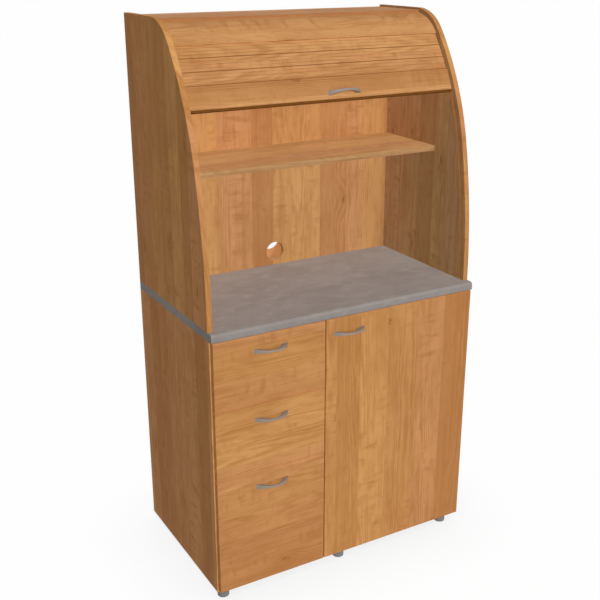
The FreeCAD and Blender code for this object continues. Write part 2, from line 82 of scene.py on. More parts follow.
def srgb(red: float, green: float, blue: float) -> Colour:
    """Turns a screen colour into a linear one.

    Args:
        red: Red, 0 to 255.
        green: Green, 0 to 255.
        blue: Blue, 0 to 255.

    Returns:
        The linear colour with full alpha.
    """
    parts = []
    for value in (red, green, blue):
        v = value / 255
        parts.append(v / 12.92 if v <= 0.04045 else ((v + 0.055) / 1.055) ** 2.4)
    return (parts[0], parts[1], parts[2], 1.0)


def darker(colour: Colour, share: float) -> Colour:
    """Scales a colour's brightness."""
    return (colour[0] * share, colour[1] * share, colour[2] * share, 1.0)


def at(x: float, depth: float, z: float) -> Vector:
    """Places a point given in millimetres by its depth in front of the rear face."""
    return Vector((x, REAR - depth, z)) / METRE


class Wiring:
    """Adds nodes to one node tree and joins them with short calls."""

    def __init__(self, tree: bpy.types.NodeTree) -> None:
        """Keeps the tree that the nodes go into."""
        self.tree = tree

    def add(self, kind: str, **settings: Any) -> bpy.types.Node:
        """Adds a node.

        Args:
            kind: The node's type name.
            **settings: Properties set on the node.

        Returns:
            The new node.
        """
        node = self.tree.nodes.new(kind)
        for key, value in settings.items():
            setattr(node, key, value)
        return node

    def feed(self, socket: bpy.types.NodeSocket, value: Any) -> None:
        """Links a socket or sets a plain value on an input."""
        if isinstance(value, bpy.types.NodeSocket):
            self.tree.links.new(value, socket)
        else:
            socket.default_value = value

    def math(self, operation: str, *values: Any) -> bpy.types.NodeSocket:
        """Adds a Math node.

        Args:
            operation: The operation's name.
            *values: Sockets or numbers, in order.

        Returns:
            The result.
        """
        node = self.add("ShaderNodeMath", operation=operation)
        for socket, value in zip(node.inputs, values):
            self.feed(socket, value)
        return node.outputs[0]

    def scaled(self, value: Any, factor: Any, offset: Any = 0.0) -> bpy.types.NodeSocket:
        """Multiplies a value and adds an offset."""
        return self.math("MULTIPLY_ADD", value, factor, offset)

    def span(self, value: Any, low: float, high: float) -> bpy.types.NodeSocket:
        """Maps low to 0 and high to 1, smoothly and clamped.

        Args:
            value: The socket to map.
            low: The value that gives 0.
            high: The value that gives 1.

        Returns:
            The mapped value.
        """
        node = self.add("ShaderNodeMapRange", interpolation_type="SMOOTHSTEP")
        self.feed(node.inputs["Value"], value)
        node.inputs["From Min"].default_value = low
        node.inputs["From Max"].default_value = high
        return node.outputs["Result"]

    def vector(self, x: Any, y: Any, z: Any) -> bpy.types.NodeSocket:
        """Joins three values into a vector."""
        node = self.add("ShaderNodeCombineXYZ")
        for socket, value in zip(node.inputs, (x, y, z)):
            self.feed(socket, value)
        return node.outputs[0]

    def split(self, vector: bpy.types.NodeSocket) -> Sequence[bpy.types.NodeSocket]:
        """Splits a vector into its three values."""
        node = self.add("ShaderNodeSeparateXYZ")
        self.feed(node.inputs[0], vector)
        return node.outputs

    def dot(self, vector: bpy.types.NodeSocket, shares: Sequence[float]) -> bpy.types.NodeSocket:
        """Adds up a vector's three values by given shares."""
        node = self.add("ShaderNodeVectorMath", operation="DOT_PRODUCT")
        self.feed(node.inputs[0], vector)
        self.feed(node.inputs[1], shares)
        return node.outputs["Value"]

    def channels(self, colour: bpy.types.NodeSocket) -> Sequence[bpy.types.NodeSocket]:
        """Splits a colour into its three values."""
        node = self.add("ShaderNodeSeparateColor")
        self.feed(node.inputs[0], colour)
        return node.outputs

    def noise(
            self, vector: Any, scale: Any, detail: float = 2.0, rough: float = 0.5) -> bpy.types.NodeSocket:
        """Adds a noise texture.

        Args:
            vector: Where the noise is read.
            scale: Its scale.
            detail: Its octaves.
            rough: How strong the finer octaves are.

        Returns:
            The noise value.
        """
        node = self.add("ShaderNodeTexNoise")
        self.feed(node.inputs["Vector"], vector)
        self.feed(node.inputs["Scale"], scale)
        node.inputs["Detail"].default_value = detail
        node.inputs["Roughness"].default_value = rough
        return node.outputs[0]

    def mix(self, factor: Any, first: Any, second: Any) -> bpy.types.NodeSocket:
        """Mixes two colours.

        Args:
            factor: Share of the second colour.
            first: First colour.
            second: Second colour.

        Returns:
            The mixed colour.
        """
        node = self.add("ShaderNodeMix", data_type="RGBA")
        self.feed(node.inputs[MIX_FACTOR], factor)
        self.feed(node.inputs[MIX_FIRST], first)
        self.feed(node.inputs[MIX_SECOND], second)
        return node.outputs[MIX_RESULT]

    def layered(self, tone: Any, layers: Iterable[tuple[Any, float, Any]]) -> Any:
        """Lays colours over a tone, one after another.

        Args:
            tone: The tone below.
            layers: Mask, strongest share and colour of each layer.

        Returns:
            The resulting colour.
        """
        for mask, share, colour in layers:
            tone = self.mix(self.scaled(mask, share), tone, colour)
        return tone


class Effect:
    """A shader node group that several finishes share."""

    def __init__(self, name: str, inputs: Sockets, outputs: Sockets) -> None:
        """Makes an empty group.

        Args:
            name: The group's name.
            inputs: Pairs of socket name and type.
            outputs: Pairs of socket name and type.
        """
        self.tree = bpy.data.node_groups.new(name, "ShaderNodeTree")
        for label, kind in inputs:
            self.tree.interface.new_socket(label, in_out="INPUT", socket_type=kind)
        for label, kind in outputs:
            self.tree.interface.new_socket(label, in_out="OUTPUT", socket_type=kind)
        self.wire = Wiring(self.tree)
        self.source = self.wire.add("NodeGroupInput").outputs
        self.result = self.wire.add("NodeGroupOutput").inputs

    def place(self, wire: Wiring, **values: Any) -> Any:
        """Puts the group into a material.

        Args:
            wire: The material's wiring.
            **values: Inputs by name.

        Returns:
            The group's outputs.
        """
        node = wire.add("ShaderNodeGroup", node_tree=self.tree)
        for key, value in values.items():
            wire.feed(node.inputs[key], value)
        return node.outputs


@dataclass(frozen=True)
class Weave:
    """A noise that is stretched along the grain.

    Attributes:
        along: Waves in a metre along the grain.
        across: Waves in a metre across it.
        detail: Octaves of the noise.
        rough: How strong the finer octaves are.
        spread: How far one layer of the noise lies from the next.
    """

    along: float
    across: float
    detail: float = 2.0
    rough: float = 0.5
    spread: float = 1.0

    def draw(self, w: Wiring, along: Any, across: Any, layer: Any) -> bpy.types.NodeSocket:
        """Adds the noise at a place along and across the grain, in one of its layers."""
        sides = (w.scaled(along, self.along), w.scaled(across, self.across), w.scaled(layer, self.spread))
        return w.noise(w.vector(*sides), 1.0, self.detail, self.rough)


@dataclass(frozen=True)
class Figure:
    """Measures of the staved wood's figure.

    Attributes:
        seed_step: How far one step of the seed moves the staves.
        stave_spread: How much the staves' widths vary.
        stave_shift: How far the tint moves a stave's figure along the grain, in metres.
        heart_shift: Span of the places of the arches' middle in a stave, in metres.
        arch: Growth lines that an arch gains in a square metre.
        lean: Span of the growth lines in a metre along the grain.
        sway_lines, fray_lines, knot_lines: Growth lines that sway, fray and a knot move.
        line_edge: How sharp the growth lines are.
        line_least, line_patch, line_knot: Shares of them everywhere, in patches and at a knot.
        knots_along, knots_across: Places for knots in a metre along and across the grain.
        knot_rare: Share of those places without a knot.
        knot_core, knot_halo: Rim and middle of a knot's core and of its halo.
        knot_brown: Colour of the core.
        fibre_rise: Share of the fibres in the relief; the growth lines give the rest.
        flecks: Noise that breaks up a knot's core.
        sway, fray: Noises that sway and fray the growth lines.
        patch, flame: Noises of the patches and of the curl across the grain in some of them.
        fibre, streak, cloud: Noises of fine fibres, long streaks and soft clouds.
    """

    seed_step: float = 7.31
    stave_spread: float = 0.7
    stave_shift: float = 9.0
    heart_shift: float = 0.15
    arch: float = 1300.0
    lean: float = 16.0
    sway_lines: float = 3.0
    fray_lines: float = 0.5
    knot_lines: float = 1.7
    line_edge: float = 1.6
    line_least: float = 0.2
    line_patch: float = 0.7
    line_knot: float = 0.3
    knots_along: float = 2.4
    knots_across: float = 4.6
    knot_rare: float = 0.62
    knot_core: Point = (0.06, 0.012)
    knot_halo: Point = (0.24, 0.02)
    knot_brown: Colour = srgb(120, 72, 34)
    fibre_rise: float = 0.6
    flecks: Weave = Weave(110.0, 190.0)
    sway: Weave = Weave(2.6, 15.0, detail=3.0, rough=0.55, spread=30.0)
    fray: Weave = Weave(16.0, 60.0, detail=3.0, rough=0.6)
    patch: Weave = Weave(3.4, 9.0, spread=20.0)
    flame: Weave = Weave(46.0, 13.0, spread=9.0)
    fibre: Weave = Weave(7.0, 340.0, detail=3.0, rough=0.6)
    streak: Weave = Weave(1.3, 52.0, detail=3.0, rough=0.55)
    cloud: Weave = Weave(4.2, 11.0, detail=3.0, rough=0.6)


def stave_figure(m: Figure) -> Effect:
    """Builds the figure of staved wood: strips of changing tone with arched growth lines, fibres and knots.

    Args:
        m: The figure's measures.

    Returns:
        The group.
    """
    effect = Effect(
        "stave_figure",
        [("Along", NUMBER), ("Across", NUMBER), ("Stave", NUMBER), ("Seed", NUMBER),
         ("Pale", PAINT), ("Warm", PAINT), ("Deep", PAINT)],
        [("Colour", PAINT), ("Fibre", NUMBER), ("Height", NUMBER)])
    w = effect.wire
    given = effect.source
    along, across, seed, stave = given["Along"], given["Across"], given["Seed"], given["Stave"]
    pale, warm, deep = given["Pale"], given["Warm"], given["Deep"]

    strip = w.add("ShaderNodeTexVoronoi", voronoi_dimensions="1D")
    place = w.scaled(seed, m.seed_step, w.math("DIVIDE", across, stave))
    w.feed(strip.inputs["W"], place)
    w.feed(strip.inputs["Scale"], 1.0)
    w.feed(strip.inputs["Randomness"], m.stave_spread)
    tint, lean, centre = w.channels(strip.outputs["Color"])[:3]

    knot = w.add("ShaderNodeTexVoronoi", voronoi_dimensions="2D")
    cell = w.vector(w.scaled(along, m.knots_along, seed), w.scaled(across, m.knots_across), 0.0)
    w.feed(knot.inputs["Vector"], cell)
    w.feed(knot.inputs["Scale"], 1.0)
    reach = knot.outputs["Distance"]
    rare = w.math("GREATER_THAN", w.channels(knot.outputs["Color"])[0], m.knot_rare)
    flecks = m.flecks.draw(w, along, across, seed)
    spot = w.math("MULTIPLY", w.span(reach, *m.knot_core), w.span(flecks, 0.4, 0.6))
    core = w.math("MULTIPLY", spot, rare)
    halo = w.math("MULTIPLY", w.span(reach, *m.knot_halo), rare)

    local = w.math("MULTIPLY", w.math("SUBTRACT", place, strip.outputs["W"]), stave)
    off = w.math("SUBTRACT", local, w.scaled(centre, m.heart_shift, -m.heart_shift / 2))
    u = w.scaled(tint, m.stave_shift, along)
    sway = m.sway.draw(w, u, across, lean)
    slope = w.math("MULTIPLY", u, w.scaled(lean, m.lean, -m.lean / 2))
    arch = w.scaled(w.math("MULTIPLY", off, off), m.arch, slope)
    fray = m.fray.draw(w, u, across, tint)
    bend = w.scaled(halo, m.knot_lines, w.scaled(fray, m.fray_lines))
    phase = w.math("ADD", w.scaled(sway, m.sway_lines, arch), bend)
    wave = w.scaled(w.math("SINE", w.scaled(phase, math.tau)), 0.5, 0.5)
    patch = m.patch.draw(w, u, across, centre)
    share = w.scaled(w.span(patch, 0.35, 0.65), m.line_patch, w.scaled(halo, m.line_knot, m.line_least))
    lines = w.math("MULTIPLY", w.math("POWER", wave, m.line_edge), share)
    flame = m.flame.draw(w, u, across, lean)
    curl = w.math("MULTIPLY", w.span(flame, 0.48, 0.7), w.span(patch, 0.56, 0.34))
    fibre = m.fibre.draw(w, u, across, centre)
    streak = m.streak.draw(w, u, across, tint)
    cloud = m.cloud.draw(w, u, across, lean)

    tone = w.layered(w.mix(w.span(tint, 0.15, 0.85), pale, warm), [
        (w.span(centre, 0.3, 1.0), 0.5, deep),
        (w.span(cloud, 0.42, 0.72), 0.36, deep),
        (w.span(cloud, 0.48, 0.25), 0.4, pale),
        (lines, 0.58, deep),
        (curl, 0.5, deep),
        (w.span(fray, 0.46, 0.7), 0.32, deep),
        (w.span(streak, 0.44, 0.78), 0.42, deep),
        (w.span(fibre, 0.45, 0.8), 0.24, deep),
        (halo, 0.2, deep),
        (core, 0.6, m.knot_brown),
    ])
    w.feed(effect.result["Colour"], tone)
    w.feed(effect.result["Fibre"], fibre)
    w.feed(effect.result["Height"], w.scaled(fibre, m.fibre_rise, w.scaled(lines, 1.0 - m.fibre_rise)))
    return effect


def handling_marks() -> Effect:
    """Builds faint smudges that change a surface's gloss.

    Returns:
        The group.
    """
    effect = Effect("handling_marks", [("Place", PLACE), ("Gloss", NUMBER), ("Amount", NUMBER)],
                    [("Roughness", NUMBER)])
    w = effect.wire
    given = effect.source
    broad_share = 0.7
    broad = w.noise(given["Place"], scale=5.5, detail=3.0, rough=0.6)
    fine = w.noise(given["Place"], scale=70.0)
    mark = w.scaled(w.span(broad, 0.35, 0.7), broad_share, w.scaled(fine, 1.0 - broad_share))
    w.feed(effect.result["Roughness"], w.scaled(mark, given["Amount"], given["Gloss"]))
    return effect


def mottle() -> Effect:
    """Builds cloudy patches and fine grains for stone-look laminate, pressed board and moulded plastic.

    Returns:
        The group.
    """
    effect = Effect(
        "mottle",
        [("Place", PLACE), ("Scale", NUMBER), ("Dark", PAINT), ("Mid", PAINT), ("Light", PAINT)],
        [("Colour", PAINT), ("Height", NUMBER)])
    w = effect.wire
    given = effect.source
    place, scale = given["Place"], given["Scale"]
    grain_fineness, vein_fineness, grain_rise = 34.0, 3.1, 0.7
    cloud = w.noise(place, scale, detail=5.0, rough=0.62)
    grain = w.noise(place, w.scaled(scale, grain_fineness))
    vein = w.noise(place, w.scaled(scale, vein_fineness), detail=6.0, rough=0.7)
    tone = w.layered(w.mix(w.span(cloud, 0.3, 0.7), given["Dark"], given["Mid"]), [
        (w.span(vein, 0.48, 0.72), 0.7, given["Light"]),
        (w.span(grain, 0.52, 0.72), 0.35, given["Dark"]),
    ])
    w.feed(effect.result["Colour"], tone)
    w.feed(effect.result["Height"], w.scaled(grain, grain_rise, w.scaled(vein, 1.0 - grain_rise)))
    return effect


class Effects:
    """The shared groups, each built once."""

    def __init__(self) -> None:
        """Builds every group."""
        self.staves = stave_figure(Figure())
        self.marks = handling_marks()
        self.mottle = mottle()


def blank(name: str) -> tuple[bpy.types.Material, Wiring, bpy.types.Node]:
    """Makes a material with one Principled shader.

    Args:
        name: The material's name.

    Returns:
        The material, its wiring and the shader node.
    """
    material = bpy.data.materials.new(name)
    material.use_nodes = True
    material.node_tree.nodes.clear()
    w = Wiring(material.node_tree)
    surface = w.add("ShaderNodeBsdfPrincipled")
    out = w.add("ShaderNodeOutputMaterial")
    w.feed(out.inputs["Surface"], surface.outputs["BSDF"])
    return material, w, surface


def emboss(
        w: Wiring, surface: bpy.types.Node, height: bpy.types.NodeSocket,
        strength: float, rise: float) -> None:
    """Feeds a height into a shader's normal.

    Args:
        w: The material's wiring.
        surface: The shader node.
        height: The height.
        strength: The bump's strength.
        rise: The bump's height in metres.
    """
    node = w.add("ShaderNodeBump")
    node.inputs["Strength"].default_value = strength
    node.inputs["Distance"].default_value = rise
    w.feed(node.inputs["Height"], height)
    w.feed(surface.inputs["Normal"], node.outputs["Normal"])


RELIEF = 0.0003  # metres
FINE_RELIEF = 0.0001  # metres
FACES_LEFT = -0.5  # a normal's X below this looks left
FLECK_SHADE = 0.84
FLECK_SHINE = 1.04


class Grain(Enum):
    """How the grain runs: shares of X, Y and Z in the places along and across it, or a sheet's layout."""

    UPRIGHT = ((0.0, 0.0, 1.0), (1.0, 1.37, 0.0))
    LEVEL = ((1.0, 0.0, 0.0), (0.0, 1.37, 1.0))
    CURVED = ((1.0, 0.0, 0.0), (0.0, 0.72, 0.72))
    BOX = ((1.0, 1.0, 0.0), (0.0, 0.0, 1.0))
    SHEET = ()


@dataclass(frozen=True)
class Tones:
    """The three tones of a wood: pale strips, warm strips and deep growth lines."""

    pale: Colour
    warm: Colour
    deep: Colour

    def parts(self) -> tuple[Colour, Colour, Colour]:
        """Gives the three tones in order."""
        return (self.pale, self.warm, self.deep)


ALDER = Tones(srgb(213, 158, 98), srgb(209, 150, 100), srgb(170, 112, 60))
# Darker copy of ALDER: painted shade offsetting the stronger light that falls on the top board, fascia and
# shutter.
ALDER_CROWN_PAINTED_SHADE = Tones(srgb(207, 155, 101), srgb(203, 147, 103), srgb(166, 111, 63))
# Less orange copy of ALDER for faces that look left into the hutch: painted light offsetting the orange
# bounce light there.
ALDER_LEFT_FACE_PAINTED_LIGHT = Tones(srgb(198, 166, 117), srgb(194, 158, 120), srgb(157, 118, 73))
# Less saturated copy of ALDER for the inner back: painted light offsetting the orange bounce light inside
# the hutch.
ALDER_INNER_BACK_PAINTED_LIGHT = Tones(srgb(208, 160, 103), srgb(204, 152, 106), srgb(165, 113, 64))
# Less red copy of ALDER for the hutch shelf: painted light offsetting the orange bounce light on it and the
# back above.
ALDER_SHELF_PAINTED_LIGHT = Tones(srgb(200, 160, 108), srgb(196, 152, 111), srgb(159, 113, 68))
BIRCH = Tones(srgb(222, 199, 164), srgb(214, 186, 150), srgb(192, 160, 120))


@dataclass(frozen=True)
class Laminate:
    """Staved wood-look laminate.

    Attributes:
        name: The material's name.
        grain: How the grain runs.
        seed: Which part of the figure shows.
        stave: Mean width of a stave in metres.
        tones: The wood's tones.
        painted_light_tones: Less orange tones for the faces that look left into the hutch, painted light
            that offsets the orange bounce light there, if given.
        gloss: Least roughness.
        smudge: Roughness that handling adds.
        fibre_gloss: Roughness that the fibres add.
        specular: Strength of its gloss.
        bump: Strength of its relief.
    """

    name: str
    grain: Grain
    seed: float
    stave: float = 0.09
    tones: Tones = ALDER
    painted_light_tones: Optional[Tones] = None
    gloss: float = 0.46
    smudge: float = 0.14
    fibre_gloss: float = 0.08
    specular: float = 0.02
    bump: float = 0.12

    def make(self, effects: Effects) -> bpy.types.Material:
        """Builds the material.

        Args:
            effects: The shared groups.

        Returns:
            The material.
        """
        material, w, surface = blank(self.name)
        where = w.add("ShaderNodeTexCoord")
        if self.grain is Grain.SHEET:
            along, across = w.split(where.outputs["UV"])[:2]
        else:
            along, across = (w.dot(where.outputs["Object"], shares) for shares in self.grain.value)
        tones: Sequence[Any] = self.tones.parts()
        # Faces that look left take the less orange tones: painted light offsetting the orange bounce light
        # inside the hutch.
        if self.painted_light_tones:
            facing = w.split(w.add("ShaderNodeNewGeometry").outputs["True Normal"])[0]
            painted_light_face = w.math("LESS_THAN", facing, FACES_LEFT)
            tones = [w.mix(painted_light_face, *pair) for pair in zip(tones, self.painted_light_tones.parts())]
        wood = effects.staves.place(w, Along=along, Across=across, Stave=self.stave, Seed=self.seed,
                                    Pale=tones[0], Warm=tones[1], Deep=tones[2])
        marks = effects.marks.place(w, Place=where.outputs["Object"], Gloss=self.gloss, Amount=self.smudge)
        w.feed(surface.inputs["Base Color"], wood["Colour"])
        w.feed(surface.inputs["Roughness"], w.scaled(wood["Fibre"], self.fibre_gloss, marks["Roughness"]))
        surface.inputs["Specular IOR Level"].default_value = self.specular
        emboss(w, surface, wood["Height"], self.bump, RELIEF)
        return material


@dataclass(frozen=True)
class Mottled:
    """Stone-look laminate, pressed board, plastic or rubber with a fine mottled grain.

    Attributes:
        name: The material's name.
        dark: Tone of the dark patches.
        mid: Main tone.
        light: Tone of the veins.
        scale: Patches in a metre.
        gloss: Least roughness.
        specular: Strength of its gloss.
        stretch: Scale of the patches along X.
        smudge: Roughness that handling adds.
        bump: Strength of its relief.
    """

    name: str
    dark: Colour
    mid: Colour
    light: Colour
    scale: float = 38.0
    gloss: float = 0.5
    specular: float = 0.3
    stretch: float = 0.6
    smudge: float = 0.16
    bump: float = 0.16

    def make(self, effects: Effects) -> bpy.types.Material:
        """Builds the material.

        Args:
            effects: The shared groups.

        Returns:
            The material.
        """
        material, w, surface = blank(self.name)
        where = w.add("ShaderNodeTexCoord").outputs["Object"]
        x, y, z = w.split(where)[:3]
        drawn = w.vector(w.scaled(x, self.stretch), y, z)
        body = effects.mottle.place(w, Place=drawn, Scale=self.scale,
                                    Dark=self.dark, Mid=self.mid, Light=self.light)
        marks = effects.marks.place(w, Place=where, Gloss=self.gloss, Amount=self.smudge)
        w.feed(surface.inputs["Base Color"], body["Colour"])
        w.feed(surface.inputs["Roughness"], marks["Roughness"])
        surface.inputs["Specular IOR Level"].default_value = self.specular
        emboss(w, surface, body["Height"], self.bump, RELIEF)
        return material


def moulded(name: str, tone: Colour, gloss: float, specular: float = 0.3) -> Mottled:
    """Gives a moulded plastic or coat of one tone with slightly darker flecks."""
    dark, light = darker(tone, FLECK_SHADE), darker(tone, FLECK_SHINE)
    return Mottled(name, dark, tone, light, gloss=gloss, specular=specular)


@dataclass(frozen=True)
class Metal:
    """Satin metal with fine lines drawn along X.

    Attributes:
        name: The material's name.
        tone: Its colour.
        gloss: Least roughness.
        metallic: Share of bare metal under the lacquer.
        lines: Waves of the drawn lines in a metre, along X and across it.
        line_shade: How much the lines darken it.
        line_gloss: Roughness that the lines add.
        smudge: Roughness that handling adds.
        bump: Strength of its relief.
    """

    name: str
    tone: Colour
    gloss: float
    metallic: float = 1.0
    lines: Point = (40.0, 1500.0)
    line_shade: float = 0.6
    line_gloss: float = 0.1
    smudge: float = 0.12
    bump: float = 0.08

    def make(self, effects: Effects) -> bpy.types.Material:
        """Builds the material.

        Args:
            effects: The shared groups.

        Returns:
            The material.
        """
        material, w, surface = blank(self.name)
        where = w.add("ShaderNodeTexCoord").outputs["Object"]
        x, y, z = w.split(where)[:3]
        along, across = self.lines
        drawn = w.noise(w.vector(w.scaled(x, along), w.scaled(y, across), w.scaled(z, across)), 1.0)
        marks = effects.marks.place(w, Place=where, Gloss=self.gloss, Amount=self.smudge)
        tone = w.mix(w.scaled(drawn, self.line_shade), self.tone, darker(self.tone, FLECK_SHADE))
        w.feed(surface.inputs["Base Color"], tone)
        w.feed(surface.inputs["Roughness"], w.scaled(drawn, self.line_gloss, marks["Roughness"]))
        surface.inputs["Metallic"].default_value = self.metallic
        emboss(w, surface, drawn, self.bump, FINE_RELIEF)
        return material


Finish = Union[Laminate, Mottled, Metal]


class Finishes:
    """Every finish of the unit, made when first asked for."""

    def __init__(self) -> None:
        """Builds the shared groups and lists the plain finishes."""
        self.effects = Effects()
        self.made: dict[str, bpy.types.Material] = {}
        self.stone = Mottled(
            "stone_worktop", srgb(142, 134, 129), srgb(153, 146, 141), srgb(163, 156, 151),
            scale=9.0, gloss=0.55, specular=0.04)
        self.back = Mottled(
            "thin_back", srgb(200, 148, 98), srgb(209, 156, 105), srgb(213, 161, 110),
            scale=26.0, gloss=0.6, specular=0.04)
        self.tray = Mottled(
            "drawer_base", srgb(196, 170, 134), srgb(212, 188, 154), srgb(220, 198, 166),
            scale=22.0, gloss=0.6, specular=0.2)
        self.handle = Metal("satin_handle", srgb(153, 142, 132), gloss=0.42, metallic=0.55)
        self.nickel = Metal("nickel_plate", srgb(190, 190, 187), gloss=0.26)
        self.runner = moulded("coated_runner", srgb(206, 203, 196), gloss=0.42)
        self.foot = moulded("foot_plastic", srgb(128, 127, 126), gloss=0.48)
        self.track = moulded("track_plastic", srgb(172, 121, 72), gloss=0.55, specular=0.06)
        self.seal = moulded("seal_strip", srgb(116, 72, 30), gloss=0.75, specular=0.04)
        # Dark hinge webs in the slat joints; their dark tone is partly painted shade for the joints.
        self.web = moulded("joint_web_painted_shade", srgb(134, 88, 46), gloss=0.75, specular=0.06)
        self.nylon = moulded("nylon", srgb(214, 210, 200), gloss=0.5)

    def of(self, finish: Finish) -> bpy.types.Material:
        """Gives a finish's material.

        Args:
            finish: The finish.

        Returns:
            The material, the same one each time.
        """
        if finish.name not in self.made:
            self.made[finish.name] = finish.make(self.effects)
        return self.made[finish.name]

    def dress(self, node: str, finish: Finish) -> None:
        """Gives a CAD node a finish.

        Args:
            node: The node's name.
            finish: Its finish.
        """
        wear(frame["nodes"][node], self.of(finish))
        LOG.info("dressed %s with %s", node, finish.name)


def wear(piece: bpy.types.Object, material: bpy.types.Material) -> None:
    """Makes a material an object's only one."""
    piece.data.materials.clear()
    piece.data.materials.append(material)


class Shell:
    """Corners and faces of one piece, gathered from simple forms.

    Attributes:
        corners: Corners in the row frame, in metres.
        faces: Corner numbers of each face.
    """

    def __init__(self) -> None:
        """Starts with no corners."""
        self.corners: list[Vector] = []
        self.faces: list[list[int]] = []

    def prism(self, outline: Sequence[Vector], run: Vector) -> None:
        """Adds a closed prism.

        Args:
            outline: Corners of one end.
            run: From that end to the other.
        """
        first = len(self.corners)
        count = len(outline)
        self.corners += list(outline) + [corner + run for corner in outline]
        near = [first + i for i in range(count)]
        far = [first + count + i for i in range(count)]
        self.faces += [near[::-1], far]
        self.faces += [[near[i], near[i - count + 1], far[i - count + 1], far[i]] for i in range(count)]

    def turned(self, profile: Sequence[Point], centre: Vector, axis: Vector, sides: int = 20) -> None:
        """Adds a turned form that ends in a point on its axis.

        Args:
            profile: Radius and height of each ring in millimetres, the last one at radius 0.
            centre: Foot of the axis.
            axis: Unit vector along it.
            sides: Corners of each ring.
        """
        aside = axis.orthogonal().normalized()
        beside = axis.cross(aside)
        first = len(self.corners)
        for radius, height in profile[:-1]:
            for step in range(sides):
                turn = math.tau * step / sides
                reach = aside * math.cos(turn) + beside * math.sin(turn)
                self.corners.append(centre + (reach * radius + axis * height) / METRE)
        self.corners.append(centre + axis * profile[-1][1] / METRE)
        rings = len(profile) - 1
        self.faces.append([first + step for step in range(sides)][::-1])
        for ring in range(rings):
            for step in range(sides):
                low = first + ring * sides
                a, b = low + step, low + (step + 1) % sides
                if ring == rings - 1:
                    self.faces.append([a, b, len(self.corners) - 1])
                else:
                    self.faces.append([a, b, b + sides, a + sides])

    def piece(
            self, name: str, material: bpy.types.Material, slot: str,
            body: Optional[str]) -> bpy.types.Object:
        """Makes the mesh object.

        Args:
            name: The piece's name.
            material: Its material.
            slot: The record's material slot; not used.
            body: The body that it rides on, or none if it is blended later.

        Returns:
            The new object.
        """
        mesh = bpy.data.meshes.new(name)
        mesh.from_pydata([tuple(corner) for corner in self.corners], [], self.faces)
        shape = bmesh.new()
        shape.from_mesh(mesh)
        bmesh.ops.recalc_face_normals(shape, faces=shape.faces)
        shape.to_mesh(mesh)
        shape.free()
        made = bpy.data.objects.new(name, mesh)
        bpy.context.scene.collection.objects.link(made)
        wear(made, material)
        if body:
            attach(made, body)
        LOG.info("made %s", name)
        return made


PAN_HEAD = ((3.6, 0.0), (3.6, 0.7), (3.1, 1.6), (2.1, 2.1), (1.3, 2.2), (0.9, 1.2), (0.0, 1.0))
REARWARD = Vector((0.0, 1.0, 0.0))
LEFTWARD = Vector((-1.0, 0.0, 0.0))
RIGHTWARD = Vector((1.0, 0.0, 0.0))


@dataclass
class Base:
    """The base cabinet: panels, worktop, feet, runners and cupboard shelf.

    Attributes:
        finishes: The unit's finishes.
        uprights: Upright panels with the seeds of their figure.
        levels: Level boards with the seeds of their figure.
        upright_stave: Stave width of the upright panels in metres.
    """

    finishes: Finishes
    uprights: tuple[tuple[str, float], ...] = (
        ("left_side_panel", 43.1), ("right_side_panel", 5.0), ("partition_panel", 7.0))
    levels: tuple[tuple[str, float], ...] = (
        ("bottom_panel", 1.0), ("top_rails", 4.0), ("cupboard_shelf", 6.0))
    upright_stave: float = 0.1

    def dress(self) -> None:
        """Gives the base's nodes their finishes."""
        f = self.finishes
        for node, seed in self.uprights:
            f.dress(node, Laminate("laminate_" + node, Grain.UPRIGHT, seed, self.upright_stave))
        for node, seed in self.levels:
            f.dress(node, Laminate("laminate_" + node, Grain.LEVEL, seed))
        f.dress("base_back_panel", f.back)
        f.dress("worktop", f.stone)
        f.dress("feet", f.foot)
        f.dress("cupboard_shelf_pins", f.nickel)
        f.dress("cabinet_runners", f.runner)


@dataclass
class Drawers:
    """The column of three drawers.

    Attributes:
        finishes: The unit's finishes.
        screw_share: Places of the runner screws along a runner.
        runner_steel: Thickness of a runner's steel.
    """

    finishes: Finishes
    screw_share: tuple[float, ...] = (0.1, 0.45, 0.82)
    runner_steel: float = 1.6

    def dress(self) -> None:
        """Gives each drawer's nodes their finishes."""
        f = self.finishes
        front = Laminate("laminate_drawer_front", Grain.LEVEL, seed=54.4, stave=0.1)
        board = Laminate("drawer_board", Grain.BOX, seed=13.0, stave=0.12, tones=BIRCH)
        for name in ("top", "middle", "bottom"):
            stem = "drawer_%s_" % name
            f.dress(stem + "front", front)
            f.dress(stem + "box", board)
            f.dress(stem + "base", f.tray)
            f.dress(stem + "runners", f.runner)
            f.dress(stem + "handle", f.handle)
            self.build_screws(stem + "runners", stem + "runner_screws", "drawer_" + name)

    def build_screws(self, node: str, name: str, body: str) -> None:
        """Makes the screws that hold a drawer's runners to its box.

        Args:
            node: The runners' node.
            name: The new piece's name.
            body: The body that it rides on.
        """
        low, high = (Vector(corner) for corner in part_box(node))
        box_low, box_high = (Vector(corner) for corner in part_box(node.replace("runners", "box")))
        web = self.runner_steel / METRE
        shell = Shell()
        for x, axis in ((box_low.x - web, LEFTWARD), (box_high.x + web, RIGHTWARD)):
            for share in self.screw_share:
                y = high.y + (low.y - high.y) * share
                shell.turned(PAN_HEAD, Vector((x, y, (low.z + high.z) / 2)), axis)
        shell.piece(name, self.finishes.of(self.finishes.nickel), "runner_steel", body)


